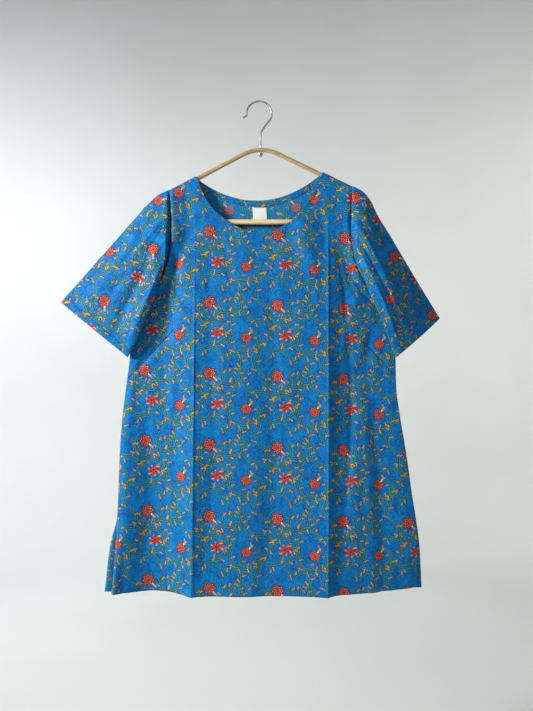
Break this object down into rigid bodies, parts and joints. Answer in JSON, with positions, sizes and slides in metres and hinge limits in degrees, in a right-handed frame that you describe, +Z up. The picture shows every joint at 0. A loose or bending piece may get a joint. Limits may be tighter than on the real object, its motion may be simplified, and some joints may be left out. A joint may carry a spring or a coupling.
{
  "type": "tunic top on a hanger",
  "caption": "Short-sleeved A-line tunic top of thin printed cotton with a scooped neck and side slits, on a bent wood hanger with a wire hook.",
  "frame": {"origin": "inside of the hook's crown, where the hanger hangs on a peg or rail", "axes": "+Z up, the front of the top faces -Y, +X to the viewer's right"},
  "size_m": [0.748, 0.0726, 0.9614],
  "materials": {
    "cotton": "printed plain-weave cotton, matte",
    "label_tape": "woven tape, blank",
    "wood": "satin varnish",
    "bar_wood": "pale, sanded",
    "zinc": "zinc plated"
  },
  "bodies": {
    "root": {"front_panel": "cotton", "back_panel": "cotton", "left_sleeve": "cotton", "right_sleeve": "cotton", "back_neck_facing": "cotton", "label": "label_tape", "hanger_rod": "wood", "hanger_bar": "bar_wood", "hanger_hook": "zinc", "hanger_nut": "zinc"}
  },
  "joints": []
}
